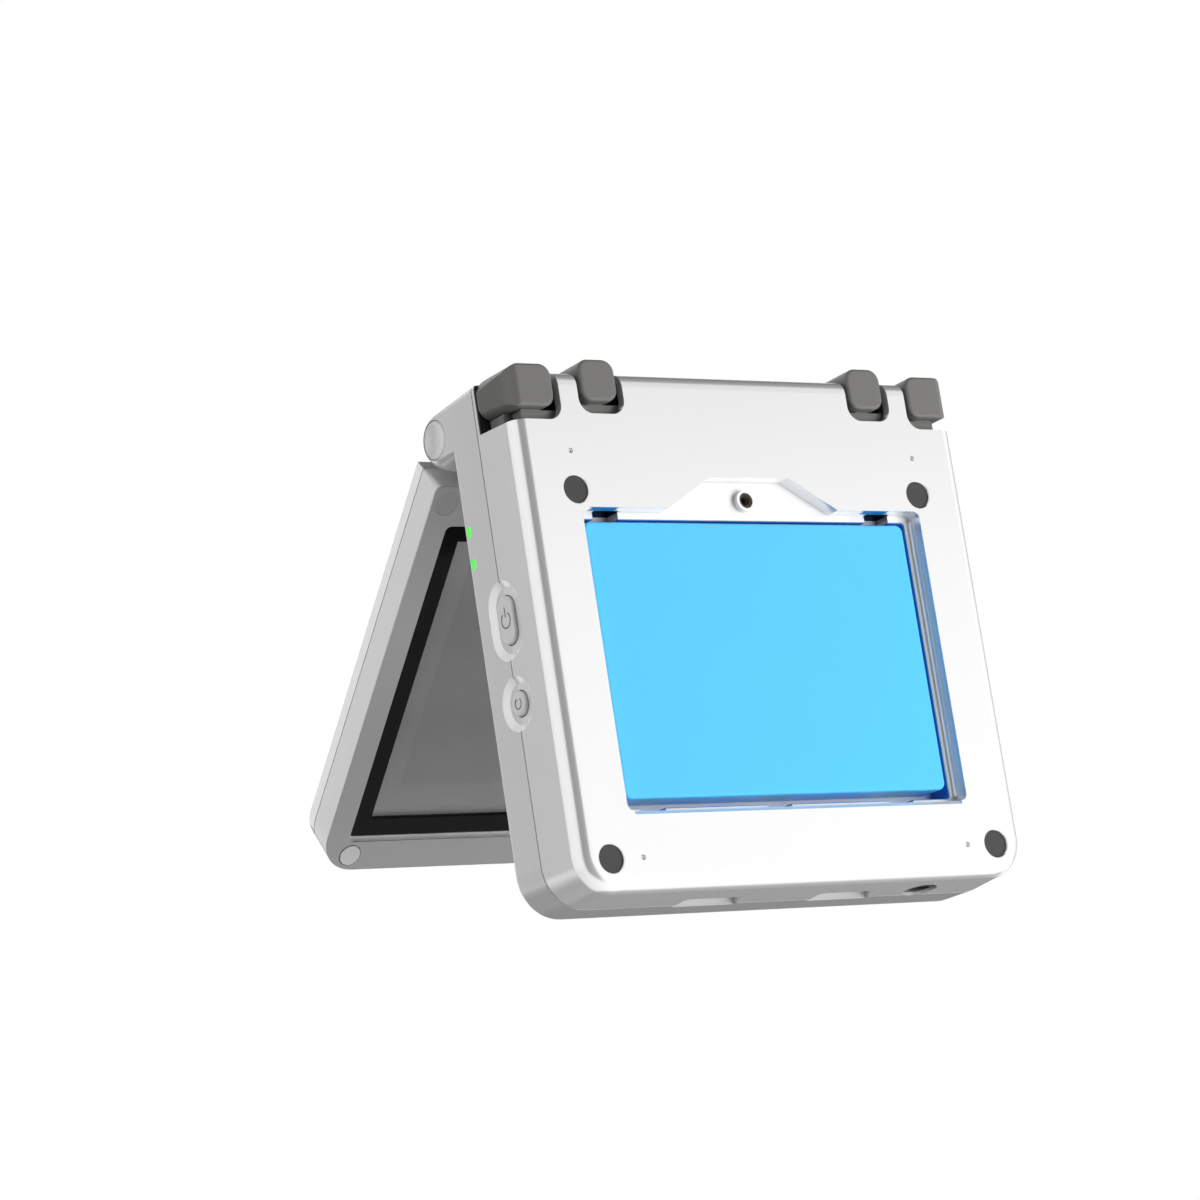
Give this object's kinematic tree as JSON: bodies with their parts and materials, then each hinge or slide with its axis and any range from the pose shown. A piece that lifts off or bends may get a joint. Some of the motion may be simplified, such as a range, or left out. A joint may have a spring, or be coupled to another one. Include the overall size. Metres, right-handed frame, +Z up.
{
  "type": "handheld game console",
  "caption": "Folding clamshell handheld game console: square base with direction pad, action and shoulder buttons, open battery bay and a hinged screen lid.",
  "frame": {"origin": "On the table plane, under the middle of the box round the part.", "axes": "+X is the player's right, +Y runs from the front edge towards the hinge, +Z is up from the table. The lid is open 46 degrees from closed at rest."},
  "size_m": [0.089, 0.087, 0.0821],
  "materials": {
    "shell": "light grey moulded plastic, fine satin",
    "lid_frame": "mid grey moulded plastic, satin",
    "battery": "smooth light blue film wrap",
    "battery_lining": "thin blue film frame round the battery",
    "latch_lining": "dark moulded plastic",
    "brass": "dark tarnished insert",
    "steel": "plated sheet and turned steel",
    "dark_rubber": "matt dark rubber",
    "board": "circuit board lacquer",
    "dark_plastic": "black moulded plastic",
    "green_light": "clear green light pipe",
    "silicone": "soft grey silicone",
    "hinge_cap": "grey moulded plastic",
    "glass": "clear cover glass with a dark printed border",
    "screen": "unlit screen, smooth",
    "buttons": "grey moulded plastic, soft gloss",
    "side_buttons": "light grey moulded plastic with printed line marks",
    "shoulder": "dark grey moulded plastic, satin"
  },
  "bodies": {
    "base": {"bottom_shell": "shell", "deck_shell": "shell", "battery_pack": "battery", "cover_insert": "brass", "case_screws": "steel", "screw_plugs": "dark_rubber", "main_board": "board", "processor_shield": "steel", "card_sockets": "steel", "headphone_jack": "dark_plastic", "charging_port": "steel", "video_port": "steel", "shoulder_switches": "dark_plastic", "side_switches": "dark_plastic", "volume_switches": "dark_plastic", "speaker": "dark_plastic", "status_lights": "green_light", "battery_liner": "battery_lining", "latch_sleeves": "latch_lining", "notch_plates": "shoulder", "pad_membrane": "silicone", "action_membrane": "silicone", "menu_membrane": "silicone", "hinge_caps": "hinge_cap", "hinge_pins": "steel"},
    "lid": {"lid_frame": "lid_frame", "lid_cover": "shell", "screen_glass": "glass", "screen_panel": "screen", "screen_board": "board", "friction_sleeves": "steel", "lid_pads": "silicone", "lid_screw_covers": "dark_rubber", "lid_screws": "steel"},
    "pad_pivot": {"pad_pivot": "dark_plastic"},
    "direction_pad": {"direction_pad": "buttons"},
    "action_button_top": {"action_button_top": "buttons"},
    "action_button_right": {"action_button_right": "buttons"},
    "action_button_bottom": {"action_button_bottom": "buttons"},
    "action_button_left": {"action_button_left": "buttons"},
    "select_button": {"select_button": "buttons"},
    "start_button": {"start_button": "buttons"},
    "menu_button": {"menu_button": "buttons"},
    "power_button": {"power_button": "side_buttons"},
    "reset_button": {"reset_button": "side_buttons"},
    "volume_up_button": {"volume_up_button": "side_buttons"},
    "volume_down_button": {"volume_down_button": "side_buttons"},
    "shoulder_right_outer": {"shoulder_right_outer": "shoulder"},
    "shoulder_right_inner": {"shoulder_right_inner": "shoulder"},
    "shoulder_left_inner": {"shoulder_left_inner": "shoulder"},
    "shoulder_left_outer": {"shoulder_left_outer": "shoulder"}
  },
  "joints": [
    {"name": "lid_hinge", "type": "hinge", "parent": "base", "child": "lid", "pos_m": [0, 0.0364, 0.0224], "axis": [-1, 0, 0], "range_deg": [-46, 109]},
    {"name": "pad_tilt_side", "type": "hinge", "parent": "base", "child": "pad_pivot", "pos_m": [-0.0275, 0.0035, 0.0132], "axis": [0, 1, 0], "range_deg": [-3.5, 3.5], "stiffness_Nm_per_rad": 0.08},
    {"name": "pad_tilt_front", "type": "hinge", "parent": "pad_pivot", "child": "direction_pad", "pos_m": [-0.0275, 0.0035, 0.0132], "axis": [1, 0, 0], "range_deg": [-3.5, 3.5], "stiffness_Nm_per_rad": 0.08},
    {"name": "action_top_press", "type": "slide", "parent": "base", "child": "action_button_top", "axis": [0, 0, -1], "range_m": [0, 0.0009], "stiffness_N_per_m": 200},
    {"name": "action_right_press", "type": "slide", "parent": "base", "child": "action_button_right", "axis": [0, 0, -1], "range_m": [0, 0.0009], "stiffness_N_per_m": 200},
    {"name": "action_bottom_press", "type": "slide", "parent": "base", "child": "action_button_bottom", "axis": [0, 0, -1], "range_m": [0, 0.0009], "stiffness_N_per_m": 200},
    {"name": "action_left_press", "type": "slide", "parent": "base", "child": "action_button_left", "axis": [0, 0, -1], "range_m": [0, 0.0009], "stiffness_N_per_m": 200},
    {"name": "select_press", "type": "slide", "parent": "base", "child": "select_button", "axis": [0, 0, -1], "range_m": [0, 0.0009], "stiffness_N_per_m": 200},
    {"name": "start_press", "type": "slide", "parent": "base", "child": "start_button", "axis": [0, 0, -1], "range_m": [0, 0.0009], "stiffness_N_per_m": 200},
    {"name": "menu_press", "type": "slide", "parent": "base", "child": "menu_button", "axis": [0, 0, -1], "range_m": [0, 0.0009], "stiffness_N_per_m": 200},
    {"name": "power_press", "type": "slide", "parent": "base", "child": "power_button", "axis": [-1, 0, 0], "range_m": [0, 0.0005], "stiffness_N_per_m": 200},
    {"name": "reset_press", "type": "slide", "parent": "base", "child": "reset_button", "axis": [-1, 0, 0], "range_m": [0, 0.0005], "stiffness_N_per_m": 200},
    {"name": "volume_up_press", "type": "slide", "parent": "base", "child": "volume_up_button", "axis": [1, 0, 0], "range_m": [0, 0.0005], "stiffness_N_per_m": 200},
    {"name": "volume_down_press", "type": "slide", "parent": "base", "child": "volume_down_button", "axis": [1, 0, 0], "range_m": [0, 0.0005], "stiffness_N_per_m": 200},
    {"name": "shoulder_right_outer_press", "type": "slide", "parent": "base", "child": "shoulder_right_outer", "axis": [0, -1, 0], "range_m": [0, 0.0012], "stiffness_N_per_m": 200},
    {"name": "shoulder_right_inner_press", "type": "slide", "parent": "base", "child": "shoulder_right_inner", "axis": [0, -1, 0], "range_m": [0, 0.0012], "stiffness_N_per_m": 200},
    {"name": "shoulder_left_inner_press", "type": "slide", "parent": "base", "child": "shoulder_left_inner", "axis": [0, -1, 0], "range_m": [0, 0.0012], "stiffness_N_per_m": 200},
    {"name": "shoulder_left_outer_press", "type": "slide", "parent": "base", "child": "shoulder_left_outer", "axis": [0, -1, 0], "range_m": [0, 0.0012], "stiffness_N_per_m": 200}
  ]
}
